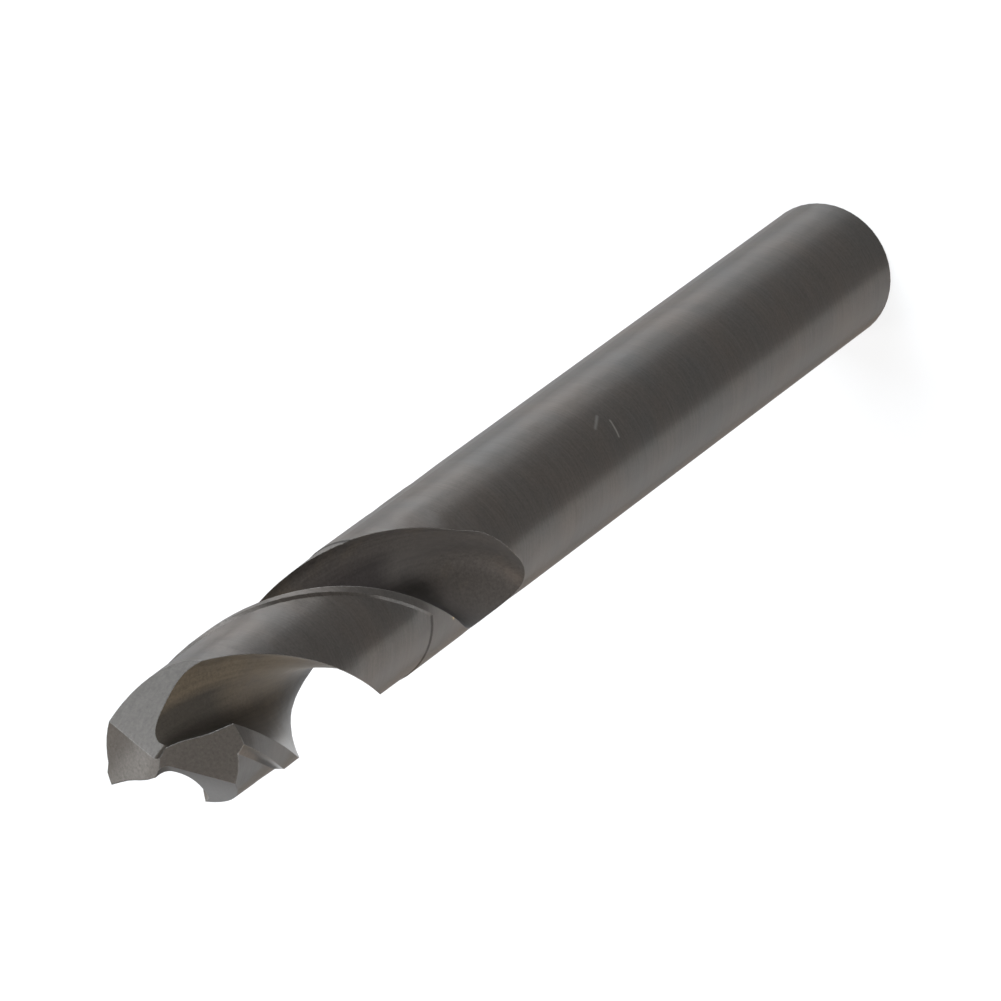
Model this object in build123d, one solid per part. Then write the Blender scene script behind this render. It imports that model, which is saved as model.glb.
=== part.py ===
from build123d import *
import math
import os

# A two-flute stub drill, ground from one round bar.
# It stands on its flat shank end: Z runs up the axis to the point, and the two lips run along Y.
# Seen from above the point it cuts turning counter-clockwise, so it is a right-hand drill.

# bar
drill_diameter = 6.0
overall_length = 66.0
shank_chamfer = 0.1
neck_length = 1.0
back_taper = 0.02

# flutes
flute_length = 28.0
helix_lead = 31.9
web_thickness = 1.09
flute_opening = 84.4
lip_hollow = 0.06
heel_hollow = 0.37
runout_length = 5.0
runout_lean = 20.0

# lands: one has a narrow margin and little clearance, the other a wide margin and more
narrow_margin = 0.42
shallow_relief = 0.18
wide_margin = 0.82
deep_relief = 0.31
relief_length = 18.65
relief_entry = 0.05
relief_shoulder = 0.6

# point
point_angle = 135.0
lip_relief = 11.4
gash_angle = 51.5
gash_start = 39.9
gash_travel = 42.5
gash_opening = 112.0
gash_root = 0.5
chisel_length = 0.15

radius = drill_diameter / 2
half_web = web_thickness / 2
lip_slope = 1 / math.tan(math.radians(point_angle / 2))
relief_slope = math.tan(math.radians(lip_relief))
turn = 360 / helix_lead
lip_end = math.sqrt(radius ** 2 - half_web ** 2)
corner_angle = 90 + math.degrees(math.asin(half_web / radius))
corner_z = overall_length - lip_end * lip_slope + half_web * relief_slope
half_opening = flute_opening / 2
runout_start = overall_length - flute_length + runout_length


def polar(r, angle):
    return Vector(r * math.cos(math.radians(angle)), r * math.sin(math.radians(angle)))


def lip_wall(y, hollow=0):
    # a point of the lip, turned back down the helix into the plane of the lip corners
    rise = (lip_end - y) * lip_slope
    x = half_web - hollow
    angle = 90 + math.degrees(math.atan2(x, y)) - rise * turn
    return polar(math.hypot(x, y), angle - corner_angle - half_opening)


def heel_wall(out, hollow):
    # a point of the heel's wall: how far out from the axis, and how far hollowed past the heel's own radius
    return Vector(out * radius, hollow * heel_hollow).rotate(Axis.Z, half_opening)


def flute_section():
    # one flute across the axis, its middle line along local X and its lip wall on the -Y side
    points = [
        lip_wall(1.25 * lip_end),
        lip_wall(lip_end),
        lip_wall(0.6 * lip_end, lip_hollow),
        lip_wall(0.3 * lip_end),
        polar(0.97 * half_web, 5),
        heel_wall(0.23, 0.15),
        heel_wall(0.37, 0.72),
        heel_wall(0.6, 0.88),
        heel_wall(0.85, 1.0),
        heel_wall(1.0, 0.0),
        heel_wall(1.1, -1.0),
    ]
    wall = Spline(*points)
    first, last = points[0], points[-1]
    out = 1.8 * radius
    rest = Polyline(last, (out, last.Y), (out, first.Y), first)
    return make_face(wall + rest)


section = flute_section()


def flute_lift(z):
    # the arc on which the flute runs out of the bar
    x = max(0, runout_start - z) / runout_length
    reach = (radius - half_web) * x ** 1.5
    return polar(reach, half_opening - runout_lean)


def flute_turn(z):
    return corner_angle + half_opening + (z - corner_z) * turn


def flute():
    stations = []
    z = overall_length + 1.0
    while z > runout_start:
        stations.append(z)
        z -= 2.0
    steps = 6
    for i in range(steps + 2):
        stations.append(runout_start - runout_length * i / steps)
    faces = []
    for z in stations:
        place = Location((0, 0, z), (0, 0, flute_turn(z)))
        faces.append(place * section.moved(Location(flute_lift(z))))
    return loft(faces)


def ground_bar():
    # a plain cylindrical shank, then a slim neck, and a fluted length that narrows slightly from the point back
    upright = (Align.CENTER, Align.CENTER, Align.MIN)
    neck = overall_length - flute_length - neck_length
    slim = radius - back_taper / 2
    shank = Cylinder(radius, neck - neck_length, align=upright)
    shank = chamfer(shank.edges().group_by(Axis.Z)[0], shank_chamfer)
    shoulder = Pos(0, 0, neck - neck_length) * Cone(radius, slim, neck_length, align=upright)
    fluted = Pos(0, 0, neck) * Cone(slim, radius, overall_length - neck, align=upright)
    return shank + shoulder + fluted


def land_relief(margin, depth):
    # behind its margin the land is ground down to a slim cone, deepest at the point;
    # a sloping shoulder leads down to it from the margin, and a short step from the full bar
    start = overall_length - relief_length
    height = relief_length + 1
    first = corner_angle - math.degrees(margin / radius) + (start - corner_z) * turn
    last = first - 180 + flute_opening - 20
    shoulder = math.degrees(2 * relief_shoulder / radius)
    far = 1.6 * radius
    foot = polar(radius - 2 * depth, first - shoulder)
    crest = polar(radius, first) * 2 - foot
    b = polar(far, last)
    mid = polar(far, (first + last) / 2)
    sector = make_face(Polyline(b, (0, 0), foot, crest) + ThreePointArc(crest, mid, b))
    wire = Pos(0, 0, start) * sector.face().outer_wire()
    blade = Solid.extrude_linear_with_rotation(wire, (0, 0, start), (0, 0, height), height * turn)
    end = radius - depth * height / relief_length
    entry = 3 * relief_entry
    side = Polyline((0, 0), (radius, 0), (radius - relief_entry, entry), (end, height), (0, height), close=True)
    core = revolve(Plane.XZ * make_face(side), Axis.Z)
    return blade - Pos(0, 0, start) * core


def lip_facet():
    # the clearance facet behind a lip: a plane through the lip that falls away behind it
    origin = (-half_web, lip_end, corner_z)
    plane = Plane(origin, x_dir=(0, 1, -lip_slope), z_dir=(relief_slope, lip_slope, 1))
    size = 4 * radius
    return plane * Box(size, size, size, align=(Align.CENTER, Align.CENTER, Align.MIN))


def point_gash():
    # the notch that splits the point: its floor starts on a line through the axis and drops to the heel,
    # and its other wall is the rake face of the short inner lip
    along = polar(1, 90 - gash_start)
    across = polar(1, -gash_start)
    along_slope = -along.Y * lip_slope - along.X * relief_slope
    across_slope = -math.tan(math.radians(gash_angle))
    path = polar(1, -gash_travel)
    path_slope = along_slope * path.dot(along) + across_slope * path.dot(across)
    travel = Vector(path.X, path.Y, path_slope).normalized()
    normal = Vector(0, 0, 1) - along * along_slope - across * across_slope
    sideways = normal.cross(travel).normalized()
    if sideways.dot(along) < 0:
        sideways = sideways * -1
    origin = Vector(0, 0, overall_length) + sideways * (chisel_length / 2)
    plane = Plane(origin, x_dir=sideways, z_dir=travel)
    up = 1 if plane.y_dir.Z > 0 else -1
    size = 2.5 * radius
    wall = polar(size, gash_opening)
    outline = Polyline((size, 0), (0, 0), (wall.X, up * wall.Y), (size, up * size), close=True)
    notch = make_face(outline)
    root = notch.vertices().sort_by(lambda v: v.X ** 2 + v.Y ** 2)[0]
    notch = fillet(root, gash_root)
    return plane * extrude(notch, 3 * radius, both=True)


half_turn = Rot(0, 0, 180)
bar = ground_bar()

drill_bit = bar - land_relief(narrow_margin, shallow_relief)
drill_bit = drill_bit - half_turn * land_relief(wide_margin, deep_relief)
for cut in (flute(), lip_facet(), point_gash()):
    drill_bit = drill_bit - cut - half_turn * cut

os.makedirs("parts", exist_ok=True)
export_step(drill_bit, "parts/drill_bit.step")
print("solids", len(drill_bit.solids()), "volume", round(drill_bit.volume, 2), "faces", len(drill_bit.faces()))
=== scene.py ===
import bpy
import math
from mathutils import Matrix, Vector

# The drill stands on its flat shank end, and its point is up.
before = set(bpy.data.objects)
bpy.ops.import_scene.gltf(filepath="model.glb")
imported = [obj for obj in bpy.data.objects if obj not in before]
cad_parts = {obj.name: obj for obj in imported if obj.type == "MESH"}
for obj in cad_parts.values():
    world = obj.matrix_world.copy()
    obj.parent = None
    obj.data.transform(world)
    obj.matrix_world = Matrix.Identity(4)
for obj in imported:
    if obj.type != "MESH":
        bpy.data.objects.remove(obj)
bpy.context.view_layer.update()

MM = 0.001
HELIX_LEAD = 31.9 * MM
TURN_PER_METRE = 2 * math.pi / HELIX_LEAD
SHANK_RADIUS = 3.0 * MM

# A grinding line is really about 0.02 mm wide and the oxide's grain finer still. Both are drawn as coarse as
# they need to show at this scale.
GRIND_LINE = 0.12 * MM
GRIND_RUN = 2.5 * MM
OXIDE_GRAIN = 0.12 * MM
OXIDE_DRIFT = 4.0 * MM

# the oxide in the flutes, from brown at the point to grey at the run-out; then painted shade at the flute's
# root beside the point, deep in the flute above its run-out, and in the step where the land's clearance
# begins
BROWN_OXIDE = "#5f5548"
GREY_OXIDE = "#4c4743"
PAINTED_ROOT_SHADE = "#433e38"
PAINTED_DEEP_SHADE = "#353130"
PAINTED_STEP_SHADE = "#2b2826"

# the ground shank and lands, the facets of the point, and a light grey for the edges, partly steel whose
# oxide is rubbed off and partly a painted highlight
WARM_GROUND = "#534d48"
COOL_GROUND = "#4e4b48"
FACET_GROUND = "#4c4844"
BARE_STEEL_AND_HIGHLIGHT = "#8b8781"


def linear(hex_colour):
    # an sRGB hex colour as linear values
    out = []
    for i in (1, 3, 5):
        c = int(hex_colour[i:i + 2], 16) / 255
        out.append(c / 12.92 if c <= 0.04045 else ((c + 0.055) / 1.055) ** 2.4)
    return (*out, 1.0)


def node(tree, kind, settings=None, **links):
    # adds one node: settings go to its properties or its sockets, and links name a socket and what feeds it.
    # A Map Range's sockets 1 and 2 are the ends of the range it reads, and 3 and 4 what it gives there.
    n = tree.nodes.new(kind)
    for key, value in (settings or {}).items():
        if isinstance(key, str) and hasattr(n, key):
            setattr(n, key, value)
        else:
            n.inputs[key].default_value = value
    for key, source in links.items():
        socket = int(key[1:]) if key[0] == "_" and key[1:].isdigit() else key.replace("_", " ")
        tree.links.new(source, n.inputs[socket])
    return n


def new_material(name):
    m = bpy.data.materials.new(name)
    m.use_nodes = True
    m.node_tree.nodes.clear()
    return m, m.node_tree


def on_shank(degrees, height):
    # a point on the shank, by its angle about the axis and its height in millimetres
    a = math.radians(degrees)
    return Vector((SHANK_RADIUS * math.cos(a), SHANK_RADIUS * math.sin(a), height * MM))


# two light scratches on the shank, and a small nick on the edge of a land:
# ends, half width, strength and colour
MARKS = [
    (on_shank(-56.5, 28.35), on_shank(-63.5, 29.20), 0.12 * MM, 0.45, "#868480"),
    (on_shank(-65.5, 27.86), on_shank(-79.0, 28.03), 0.10 * MM, 0.70, "#8b8781"),
    (on_shank(-119.2, 45.44), on_shank(-120.8, 45.36), 0.10 * MM, 0.85, "#a3916b"),
]


def dark_ground_steel():
    # high-speed steel, hardened, darkened by tempering in steam and then ground:
    # a dark satin grey, with soft streaks of light that run across its grinding lines.
    # The flutes keep more of the brown oxide than the shank, the lands and the facets of the point.
    m, t = new_material("steam_tempered_ground_high_speed_steel")
    place = node(t, "ShaderNodeTexCoord").outputs["Object"]
    facing = node(t, "ShaderNodeNewGeometry").outputs["Normal"]
    height = node(t, "ShaderNodeSeparateXYZ", {}, _0=place).outputs["Z"]
    rise = node(t, "ShaderNodeSeparateXYZ", {}, _0=facing).outputs["Z"]

    # how far out from the axis, which way out, and how squarely a surface faces that way
    flat = node(t, "ShaderNodeVectorMath", {"operation": "MULTIPLY", 1: (1, 1, 0)}, _0=place).outputs[0]
    reach = node(t, "ShaderNodeVectorMath", {"operation": "LENGTH"}, _0=flat).outputs["Value"]
    outward = node(t, "ShaderNodeVectorMath", {"operation": "NORMALIZE"}, _0=flat).outputs[0]
    faces_out = node(t, "ShaderNodeVectorMath", {
        "operation": "DOT_PRODUCT",
    }, _0=facing, _1=outward).outputs["Value"]

    # the facets of the point are high up, and tilt up more than any wall of a flute there
    point_foot = 62.0 * MM
    tilt_least, tilt_full = 0.52, 0.56
    at_point = node(t, "ShaderNodeMath", {"operation": "GREATER_THAN", 1: point_foot}, _0=height).outputs[0]
    faces_up = node(t, "ShaderNodeMapRange", {1: tilt_least, 2: tilt_full}, _0=rise).outputs[0]
    facet = node(t, "ShaderNodeMath", {"operation": "MULTIPLY"}, _0=at_point, _1=faces_up).outputs[0]

    # the shank and lands are far out and face outward; beside the margins, above the step where the land's
    # clearance begins, the sloping shoulders count as land too
    step_low, step_high = 46.5 * MM, 47.0 * MM
    square_shank, square_land, square_fade = 0.90, 0.72, 0.03
    flute_side, land_side = 2.60 * MM, 2.64 * MM
    least = node(t, "ShaderNodeMapRange", {
        1: step_low,
        2: step_high,
        3: square_shank,
        4: square_land,
    }, _0=height).outputs[0]
    more = node(t, "ShaderNodeMath", {"operation": "SUBTRACT"}, _0=faces_out, _1=least).outputs[0]
    turned = node(t, "ShaderNodeMapRange", {1: 0.0, 2: square_fade}, _0=more).outputs[0]
    far_out = node(t, "ShaderNodeMapRange", {1: flute_side, 2: land_side}, _0=reach).outputs[0]
    round_part = node(t, "ShaderNodeMath", {"operation": "MULTIPLY"}, _0=far_out, _1=turned).outputs[0]
    round_part = node(t, "ShaderNodeMath", {
        "operation": "SUBTRACT",
        "use_clamp": True,
    }, _0=round_part, _1=facet).outputs[0]

    # the direction of the grinding lines: around the shank and lands, along the helix in the flutes
    around = node(t, "ShaderNodeVectorMath", {
        "operation": "CROSS_PRODUCT",
        0: (0, 0, 1),
    }, _1=outward).outputs[0]
    swirl = node(t, "ShaderNodeVectorMath", {
        "operation": "CROSS_PRODUCT",
        0: (0, 0, TURN_PER_METRE),
    }, _1=place).outputs[0]
    helix = node(t, "ShaderNodeVectorMath", {"operation": "ADD", 1: (0, 0, 1)}, _0=swirl).outputs[0]
    lines = node(t, "ShaderNodeMix", {"data_type": "VECTOR"}, _0=round_part, _4=helix, _5=around).outputs[1]
    across = node(t, "ShaderNodeVectorMath", {"operation": "CROSS_PRODUCT"}, _0=facing, _1=lines).outputs[0]

    # the lines themselves, drawn in the bar's own frame on the round part, and untwisted in the flutes
    thin, long = 1 / GRIND_LINE, 1 / GRIND_RUN
    ringed = node(t, "ShaderNodeVectorMath", {
        "operation": "MULTIPLY",
        1: (long, long, thin),
    }, _0=place).outputs[0]
    back = node(t, "ShaderNodeMath", {"operation": "MULTIPLY", 1: -TURN_PER_METRE}, _0=height).outputs[0]
    straight = node(t, "ShaderNodeVectorRotate", {
        "rotation_type": "Z_AXIS",
    }, Vector=place, Angle=back).outputs[0]
    fluted = node(t, "ShaderNodeVectorMath", {
        "operation": "MULTIPLY",
        1: (thin, thin, long),
    }, _0=straight).outputs[0]
    stretched = node(t, "ShaderNodeMix", {
        "data_type": "VECTOR",
    }, _0=round_part, _4=fluted, _5=ringed).outputs[1]
    streaks = node(t, "ShaderNodeTexNoise", {
        "Scale": 1.0,
        "Detail": 3.0,
        "Roughness": 0.6,
    }, Vector=stretched).outputs[0]

    # the even satin grain of the oxide, and its slow drift between brown and blue grey
    mid_low, mid_high = 0.35, 0.65
    grain = node(t, "ShaderNodeTexNoise", {
        "Scale": 1 / OXIDE_GRAIN,
        "Detail": 3.0,
        "Roughness": 0.7,
    }, Vector=place).outputs[0]
    drift = node(t, "ShaderNodeTexNoise", {
        "Scale": 1 / OXIDE_DRIFT,
        "Detail": 6.0,
        "Roughness": 0.6,
    }, Vector=place).outputs[0]
    drift = node(t, "ShaderNodeMapRange", {1: mid_low, 2: mid_high}, _0=drift).outputs[0]

    # in the flutes the drift leans to brown high up, and to grey at the run-out
    brown_from, grey_from = 57.0 * MM, 47.0 * MM
    lean_brown, lean_grey = -0.4, 0.7
    lean = node(t, "ShaderNodeMapRange", {
        1: brown_from,
        2: grey_from,
        3: lean_brown,
        4: lean_grey,
    }, _0=height).outputs[0]
    flute_drift = node(t, "ShaderNodeMath", {
        "operation": "ADD",
        "use_clamp": True,
    }, _0=drift, _1=lean).outputs[0]

    # painted shade: the flute's colour is darkened at its root beside the point, where the flute sees dark
    # surroundings
    unshaded_below, shaded_above = 59.5 * MM, 61.5 * MM
    unshaded_outside, shaded_inside = 1.75 * MM, 1.35 * MM
    by_point = node(t, "ShaderNodeMapRange", {1: unshaded_below, 2: shaded_above}, _0=height).outputs[0]
    by_root = node(t, "ShaderNodeMapRange", {1: unshaded_outside, 2: shaded_inside}, _0=reach).outputs[0]
    root_shade = node(t, "ShaderNodeMath", {"operation": "MULTIPLY"}, _0=by_point, _1=by_root).outputs[0]

    # painted shade: darker still deep in the flute, just above its run-out
    dark_foot, dark_low, dark_high, dark_head = 44.6 * MM, 46.0 * MM, 49.5 * MM, 51.0 * MM
    dark_outside, dark_inside, darkest = 2.5 * MM, 1.5 * MM, 0.85
    above = node(t, "ShaderNodeMapRange", {1: dark_foot, 2: dark_low}, _0=height).outputs[0]
    under = node(t, "ShaderNodeMapRange", {1: dark_head, 2: dark_high}, _0=height).outputs[0]
    deep = node(t, "ShaderNodeMapRange", {1: dark_outside, 2: dark_inside, 4: darkest}, _0=reach).outputs[0]
    dark = node(t, "ShaderNodeMath", {"operation": "MULTIPLY"}, _0=above, _1=under).outputs[0]
    dark = node(t, "ShaderNodeMath", {"operation": "MULTIPLY"}, _0=dark, _1=deep).outputs[0]

    flute_colour = node(t, "ShaderNodeMix", {
        "data_type": "RGBA",
        6: linear(BROWN_OXIDE),
        7: linear(GREY_OXIDE),
    }, _0=flute_drift).outputs[2]
    # painted shade at the flute's root beside the point
    flute_colour = node(t, "ShaderNodeMix", {
        "data_type": "RGBA",
        7: linear(PAINTED_ROOT_SHADE),
    }, _0=root_shade, _6=flute_colour).outputs[2]
    # painted shade deep in the flute, just above its run-out
    flute_colour = node(t, "ShaderNodeMix", {
        "data_type": "RGBA",
        7: linear(PAINTED_DEEP_SHADE),
    }, _0=dark, _6=flute_colour).outputs[2]
    ground_colour = node(t, "ShaderNodeMix", {
        "data_type": "RGBA",
        6: linear(WARM_GROUND),
        7: linear(COOL_GROUND),
    }, _0=drift).outputs[2]
    colour = node(t, "ShaderNodeMix", {
        "data_type": "RGBA",
    }, _0=round_part, _6=flute_colour, _7=ground_colour).outputs[2]
    colour = node(t, "ShaderNodeMix", {
        "data_type": "RGBA",
        7: linear(FACET_GROUND),
    }, _0=facet, _6=colour).outputs[2]

    # grain and streaks make each spot a little lighter or darker
    streak_weight = 0.65
    sum_low, sum_high = 0.53, 1.12
    darker, lighter = 0.73, 1.27
    texture = node(t, "ShaderNodeMath", {
        "operation": "MULTIPLY_ADD",
        1: streak_weight,
    }, _0=streaks, _2=grain).outputs[0]
    shade = node(t, "ShaderNodeMapRange", {
        1: sum_low,
        2: sum_high,
        3: darker,
        4: lighter,
    }, _0=texture).outputs[0]
    colour = node(t, "ShaderNodeVectorMath", {"operation": "SCALE"}, _0=colour, Scale=shade).outputs[0]

    # edges that rub in use lose their oxide, and catch the light: the lighter colour on the sharp edges is
    # partly this wear and partly a painted highlight
    edge_width = 0.05 * MM
    edge_least, edge_full = 0.985, 0.90
    grain_low, grain_high = 0.3, 0.7
    most_wear_and_highlight = 0.5
    rounded = node(t, "ShaderNodeBevel", {"samples": 4, "Radius": edge_width}).outputs[0]
    alike = node(t, "ShaderNodeVectorMath", {
        "operation": "DOT_PRODUCT",
    }, _0=rounded, _1=facing).outputs["Value"]
    edge = node(t, "ShaderNodeMapRange", {1: edge_least, 2: edge_full}, _0=alike).outputs[0]
    rubbed = node(t, "ShaderNodeMapRange", {
        1: grain_low,
        2: grain_high,
        3: 0.0,
        4: most_wear_and_highlight,
    }, _0=grain).outputs[0]
    edge_wear_and_highlight = node(t, "ShaderNodeMath", {"operation": "MULTIPLY"}, _0=edge, _1=rubbed).outputs[0]
    colour = node(t, "ShaderNodeMix", {
        "data_type": "RGBA",
        7: linear(BARE_STEEL_AND_HIGHLIGHT),
    }, _0=edge_wear_and_highlight, _6=colour).outputs[2]

    # painted shade: the short step where the land's clearance begins is darkened in colour
    step_height = 47.45 * MM
    step_edge, step_core, step_strength = 0.16 * MM, 0.04 * MM, 0.75
    margin_side, cleared_side = 2.988 * MM, 2.976 * MM
    step_gap = node(t, "ShaderNodeMath", {"operation": "SUBTRACT", 1: step_height}, _0=height).outputs[0]
    step_gap = node(t, "ShaderNodeMath", {"operation": "ABSOLUTE"}, _0=step_gap).outputs[0]
    in_step = node(t, "ShaderNodeMapRange", {
        1: step_edge,
        2: step_core,
        4: step_strength,
    }, _0=step_gap).outputs[0]
    cleared = node(t, "ShaderNodeMapRange", {1: margin_side, 2: cleared_side}, _0=reach).outputs[0]
    in_step = node(t, "ShaderNodeMath", {"operation": "MULTIPLY"}, _0=in_step, _1=cleared).outputs[0]
    in_step = node(t, "ShaderNodeMath", {"operation": "MULTIPLY"}, _0=in_step, _1=round_part).outputs[0]
    colour = node(t, "ShaderNodeMix", {
        "data_type": "RGBA",
        7: linear(PAINTED_STEP_SHADE),
    }, _0=in_step, _6=colour).outputs[2]

    # each mark is the space near a short line
    for start, end, half_width, strength, mark_colour in MARKS:
        run = end - start
        away = node(t, "ShaderNodeVectorMath", {"operation": "SUBTRACT", 1: start}, _0=place).outputs[0]
        along = node(t, "ShaderNodeVectorMath", {
            "operation": "DOT_PRODUCT",
            1: run / run.length_squared,
        }, _0=away).outputs["Value"]
        along = node(t, "ShaderNodeClamp", {}, _0=along).outputs[0]
        near = node(t, "ShaderNodeVectorMath", {"operation": "SCALE", 0: run}, Scale=along).outputs[0]
        gap = node(t, "ShaderNodeVectorMath", {"operation": "DISTANCE"}, _0=away, _1=near).outputs["Value"]
        mark = node(t, "ShaderNodeMapRange", {
            "interpolation_type": "SMOOTHSTEP",
            1: half_width,
            2: 0.0,
            3: 0.0,
            4: strength,
        }, _0=gap).outputs[0]
        colour = node(t, "ShaderNodeMix", {
            "data_type": "RGBA",
            7: linear(mark_colour),
        }, _0=mark, _6=colour).outputs[2]

    # a satin metal: the grain roughens it a little, and where it is seen at a slant it stays dark
    line_depth = 0.002 * MM
    satin_low, satin_high = 0.37, 0.43
    slant = 0.8
    relief = node(t, "ShaderNodeBump", {
        "Strength": 0.5,
        "Distance": line_depth,
    }, Height=texture, Normal=rounded).outputs[0]
    roughness = node(t, "ShaderNodeMapRange", {
        1: grain_low,
        2: grain_high,
        3: satin_low,
        4: satin_high,
    }, _0=grain).outputs[0]
    shader = node(t, "ShaderNodeBsdfPrincipled", {
        "Metallic": 1.0,
        "Anisotropic": 1.0,
        "Specular Tint": (slant, slant, slant, 1),
    }, Base_Color=colour, Roughness=roughness, Tangent=across, Normal=relief)
    node(t, "ShaderNodeOutputMaterial", Surface=shader.outputs[0])
    return m


def white_table():
    # matt white laminate: it shows as plain white, and still takes the drill's soft shadow
    m, t = new_material("matt_white_laminate")
    shown_white = 0.8
    diffuse = node(t, "ShaderNodeBsdfDiffuse", {"Color": linear("#f2f2f2")}).outputs[0]
    white = node(t, "ShaderNodeEmission", {"Color": (1, 1, 1, 1), "Strength": 1.0}).outputs[0]
    path = node(t, "ShaderNodeLightPath")
    seen = path.outputs["Is Camera Ray"]
    for ray in ("Is Glossy Ray", "Is Transmission Ray"):
        seen = node(t, "ShaderNodeMath", {"operation": "MAXIMUM"}, _0=seen, _1=path.outputs[ray]).outputs[0]
    share = node(t, "ShaderNodeMath", {"operation": "MULTIPLY", 1: shown_white}, _0=seen).outputs[0]
    mix = node(t, "ShaderNodeMixShader", {}, _0=share, _1=diffuse, _2=white).outputs[0]
    node(t, "ShaderNodeOutputMaterial", Surface=mix)
    return m


def disc(name, radius, z, sides=96):
    mesh = bpy.data.meshes.new(name)
    angles = [2 * math.pi * i / sides for i in range(sides)]
    rim = [(radius * math.cos(a), radius * math.sin(a), z) for a in angles]
    mesh.from_pydata(rim, [], [list(range(sides))])
    obj = bpy.data.objects.new(name, mesh)
    bpy.context.scene.collection.objects.link(obj)
    return obj


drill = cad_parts["drill_bit"]
steel = dark_ground_steel()
for slot in drill.material_slots:
    slot.material = steel

# the table, just under the shank's end
FLOOR_RADIUS = 2.0
FLOOR_DROP = 0.02 * MM
floor = disc("floor", FLOOR_RADIUS, -FLOOR_DROP)
floor.data.materials.append(white_table())

# the room: white just above the table's far edge, and dim grey higher up.
# A direction's height is the sine of its angle above the table.
WHITE_BELOW = 0.06
DIM_ABOVE = 0.14
ROOM_WHITE = 1.0
ROOM_DIM = 0.06
room = bpy.data.worlds.new("studio")
bpy.context.scene.world = room
room.use_nodes = True
room.node_tree.nodes.clear()
rt = room.node_tree
direction = node(rt, "ShaderNodeTexCoord").outputs["Generated"]
upward = node(rt, "ShaderNodeSeparateXYZ", {}, _0=direction).outputs["Z"]
brightness = node(rt, "ShaderNodeMapRange", {
    1: WHITE_BELOW,
    2: DIM_ABOVE,
    3: ROOM_WHITE,
    4: ROOM_DIM,
}, _0=upward).outputs[0]
background = node(rt, "ShaderNodeBackground", {"Color": (1, 1, 1, 1)}, Strength=brightness).outputs[0]
node(rt, "ShaderNodeOutputWorld", Surface=background)

# the lamps stand half a metre from a point 40 mm up the drill, and face it
LAMP_DISTANCE = 0.5
LAMP_AIM = Vector((0, 0, 40 * MM))


def softbox(name, azimuth, elevation, width, height, radiance, colour):
    # a soft lamp of that radiance; where it stands, and its width and height as the drill sees them, are in
    # degrees. An area lamp's power is pi times its radiance and its area.
    lamp = bpy.data.lights.new(name, "AREA")
    lamp.shape = "RECTANGLE"
    lamp.size = 2 * LAMP_DISTANCE * math.tan(math.radians(width / 2))
    lamp.size_y = 2 * LAMP_DISTANCE * math.tan(math.radians(height / 2))
    lamp.energy = radiance * math.pi * lamp.size * lamp.size_y
    lamp.color = linear(colour)[:3]
    obj = bpy.data.objects.new(name, lamp)
    bpy.context.scene.collection.objects.link(obj)
    a, e = math.radians(azimuth), math.radians(elevation)
    away = Vector((math.cos(a) * math.cos(e), math.sin(a) * math.cos(e), math.sin(e)))
    obj.location = LAMP_AIM + away * LAMP_DISTANCE
    obj.rotation_mode = "QUATERNION"
    obj.rotation_quaternion = away.to_track_quat("Z", "Y")


# daylight from windows at the left and behind, and what the walls at the right throw back:
# the windows give the soft band of light on the left of the bar, and the walls the crisp one on its right
softbox("window_left_near", -20, 26, 18, 48, 3.6, "#e9f4ff")
softbox("window_left", 2, 26, 20, 48, 9.8, "#e9f4ff")
softbox("window_left_far", 35, 26, 32, 48, 8.6, "#e9f4ff")
softbox("window_left_low", 2, 7, 30, 11, 5.2, "#e9f4ff")
softbox("window_left_high", 0, 64, 20, 26, 8.5, "#e9f4ff")
softbox("window_back", 90, 26, 18, 48, 4.6, "#fffaf4")
softbox("wall_right_near", -125, 10, 26, 18, 8.4, "#edf6ff")
softbox("wall_right", -152, 10, 27, 18, 10.8, "#edf6ff")
softbox("wall_right_far", 178, 10, 30, 18, 7.0, "#fff0e0")
softbox("overhead", -158, 60, 22, 22, 6.2, "#ffffff")

# a long lens from high up, with the drill's point toward it
CAMERA_PLACE = (79.407 * MM, -235.681 * MM, 465.438 * MM)
RIGHT = Vector((-0.341054, -0.849935, -0.401613))
UP = Vector((0.926555, -0.231820, -0.296238))
FORWARD = Vector((-0.158681, 0.473149, -0.866574))
camera = bpy.data.objects.new("camera", bpy.data.cameras.new("camera"))
bpy.context.scene.collection.objects.link(camera)
bpy.context.scene.camera = camera
camera.data.sensor_width = 36.0
camera.data.lens = 450.13
camera.data.clip_start = 0.01
camera.data.clip_end = 20.0
camera.matrix_world = Matrix((
    (RIGHT.x, UP.x, -FORWARD.x, CAMERA_PLACE[0]),
    (RIGHT.y, UP.y, -FORWARD.y, CAMERA_PLACE[1]),
    (RIGHT.z, UP.z, -FORWARD.z, CAMERA_PLACE[2]),
    (0, 0, 0, 1),
))

bpy.context.scene.view_settings.view_transform = "Standard"
